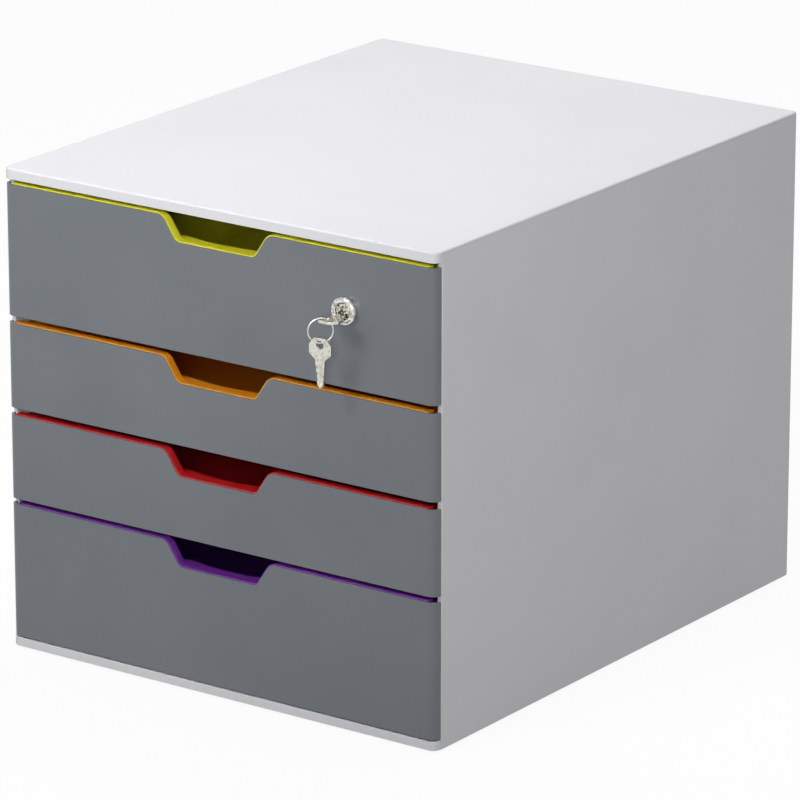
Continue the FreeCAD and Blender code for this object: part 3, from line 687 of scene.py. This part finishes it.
# ---- Nut, cam and screw ---------------------------------------------------------------
# The nut clamps the housing from inside, and the screw holds the long cam on the plug's square.
# All are steel, stamped or turned, and zinc-plated: pale and satin, with a mottle 2 mm wide.
zinc = metal("Bright zinc plating on steel", "#C9CCCE", "#A9ADB0", 0.32, 0.12, 1.8, 0.5, 0.01)
for part in ("lock_nut", "lock_cam", "cam_screw"):
    coat(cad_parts[part], zinc)

# ---- Keys -----------------------------------------------------------------------------
# Two keys alike, stamped from nickel-plated brass, the cuts milled along one edge and a groove
# down each face. One stands in the lock; the other hangs from a ring through its bow.
KEY_T, BOW, BOW_END, SHAFT, BLADE = 1.6, 13.5, 3.6, 2.9, 14.0
WIDEST, NARROWING, NECK = -9.6, -4.6, -1.2
# way along the key from its shoulder, and where its two edges lie
STATIONS = ((WIDEST, -6.8, 6.8), (NARROWING, -6.8, 6.8), (NECK, -SHAFT, SHAFT),
            (1.6, -SHAFT, 2.7), (3.0, -2.1, 2.6), (4.6, -2.6, 2.5), (6.2, -1.7, 2.4),
            (7.8, -2.2, 2.25), (9.4, -1.4, 2.15), (11.2, -1.9, 2.0), (12.6, -1.6, 1.9),
            (BLADE, -0.6, 0.6))
CORNERS = ((-BOW, 0.7), (WIDEST, 0.55), (NARROWING, 0.7), (NECK, 0.5))      # how far each is cut
HOLE_R, HOLE_IN = 2.3, 3.8                      # hole in the bow, and its middle from the bow's end
GROOVE_X, GROOVE_Y, GROOVE_DEEP = (-0.1, 1.1), (-0.6, 12.0), 0.4
KEY_SHOULDER = FRONT - FACE_OUT - 3.4
RING_R, RING_TURN, SPARE_TURN = 6.8, 45.0, 5.0
RING_OUT, RING_DOWN, SPARE_SAG = 3.9, 5.2, 0.95     # ring's middle off the hole, spare key's fall


def key(name):
    """A key lying flat, its shoulder at the origin and its blade along +Y."""
    bpy.ops.object.select_all(action="DESELECT")
    bpy.ops.mesh.primitive_plane_add(size=1, location=(0, (0.5 - BOW) * MM, 0))
    piece = bpy.context.object
    piece.name = piece.data.name = name
    piece.scale = (2 * BOW_END * MM, MM, 1)
    bpy.ops.object.transform_apply(location=True, rotation=True, scale=True)
    with editing(piece):
        here, left, right = 1.0 - BOW, -BOW_END, BOW_END
        for y, new_left, new_right in STATIONS:
            pick("EDGE", lambda m, d: abs(m.y - here) < 0.01)
            if y == WIDEST:
                shift(y=y - here)
            else:
                bpy.ops.mesh.extrude_edges_move(TRANSFORM_OT_translate={
                    "value": (0, (y - here) * MM, 0), "orient_type": "GLOBAL"})
            for old, new in ((left, new_left), (right, new_right)):
                pick("VERT", lambda m, n: abs(m.y - y) < 0.01 and abs(m.x - old) < 0.01)
                shift(x=new - old)
            here, left, right = y, new_left, new_right
        bpy.ops.mesh.select_all(action="SELECT")
        bpy.ops.mesh.dissolve_limited(angle_limit=0.001, use_dissolve_boundaries=False)
        for y, reach in CORNERS:
            round_off(lambda m, n: abs(m.y - y) < 0.01, reach, 5, "VERT")
        pick("FACE", lambda m, n: True)
        shift(z=-KEY_T / 2)
        bpy.ops.mesh.normals_make_consistent(inside=False)
        pull(lambda m, n: True, z=KEY_T)
        bpy.ops.mesh.select_all(action="SELECT")
        bpy.ops.mesh.normals_make_consistent(inside=False)
    cut_away(piece, turned("drill", 48, ((HOLE_R, -3), (HOLE_R, 3)), (0, HOLE_IN - BOW, 0), "-Z"))
    for side in (-1, 1):
        groove = sorted((side * (KEY_T / 2 - GROOVE_DEEP), side * 2))
        cut_away(piece, block("groove", GROOVE_X, GROOVE_Y, groove))
    soften(piece, 0.14, 2, 40)
    return piece


def set_down(piece, turns, place):
    """Turns a piece about the axes in order, in degrees, then puts it at its place (mm)."""
    for axis, degrees in turns:
        piece.rotation_euler = [math.radians(degrees) if axis == a else 0 for a in "XYZ"]
        with bpy.context.temp_override(selected_editable_objects=[piece], active_object=piece):
            bpy.ops.object.transform_apply(location=False, rotation=True, scale=False)
    piece.location = Vector(place) * MM
    with bpy.context.temp_override(selected_editable_objects=[piece], active_object=piece):
        bpy.ops.object.transform_apply(location=True, rotation=False, scale=False)


# Nickel is a shade warmer than chrome, and handling dulls it in spots 1 to 2 mm wide.
nickel = metal("Nickel plating on stamped brass", "#DDDAD1", "#BBB7AB", 0.26, 0.14, 1.4, 0.26, 0.02)
lead = Vector((math.cos(math.radians(RING_TURN)), math.sin(math.radians(RING_TURN)), 0))
hole = Vector((LOCK_X, KEY_SHOULDER - BOW + HOLE_IN, KEY_Z))
ring_middle = hole - lead * RING_OUT - Vector((0, 0, RING_DOWN))

working_key = key("key_in_use")
set_down(working_key, (), (LOCK_X, KEY_SHOULDER, KEY_Z))
hand_over(working_key, "key", nickel, "key_nickel", "key_in_lock")

hanging_key = key("key_on_ring")
set_down(hanging_key, (), (0, BOW - HOLE_IN, 0))
set_down(hanging_key, (("X", -90), ("Z", SPARE_TURN)),
         ring_middle - Vector((0, 0, RING_R + SPARE_SAG)))
hand_over(hanging_key, "spare", nickel, "key_nickel", "spare_key")

# ---- Key ring -------------------------------------------------------------------------
# Two turns of flat spring-steel wire lying side by side, nickel-plated, the ends cut off square.
# It goes through the bow of the key in the lock and carries the other one.
WIRE_W, WIRE_T, TURN_STEP = 0.70, 0.31, 0.33    # wire across and along the ring's axis; its pitch
TURNS, WIRE_SIDES, STEPS = 2, 16, 144

bpy.ops.object.select_all(action="DESELECT")
bpy.ops.mesh.primitive_circle_add(vertices=WIRE_SIDES, radius=WIRE_W / 2 * MM,
                                  fill_type="NOTHING", rotation=(math.radians(90), 0, 0))
ring = bpy.context.object
ring.name = ring.data.name = "split_ring"
ring.location = Vector((RING_R, 0, -TURN_STEP)) * MM
ring.scale = (1, WIRE_T / WIRE_W, 1)
bpy.ops.object.transform_apply(location=True, rotation=True, scale=True)
modify(ring, "SCREW", angle=TURNS * 2 * math.pi, screw_offset=TURNS * TURN_STEP * MM,
       steps=STEPS, render_steps=STEPS, axis="Z", use_merge_vertices=False)
with editing(ring):
    bpy.ops.mesh.select_all(action="SELECT")
    bpy.ops.mesh.fill_holes(sides=0)
set_down(ring, (("X", 90), ("Z", RING_TURN)), ring_middle)
hand_over(ring, "ring", nickel, "key_nickel", "key_ring")
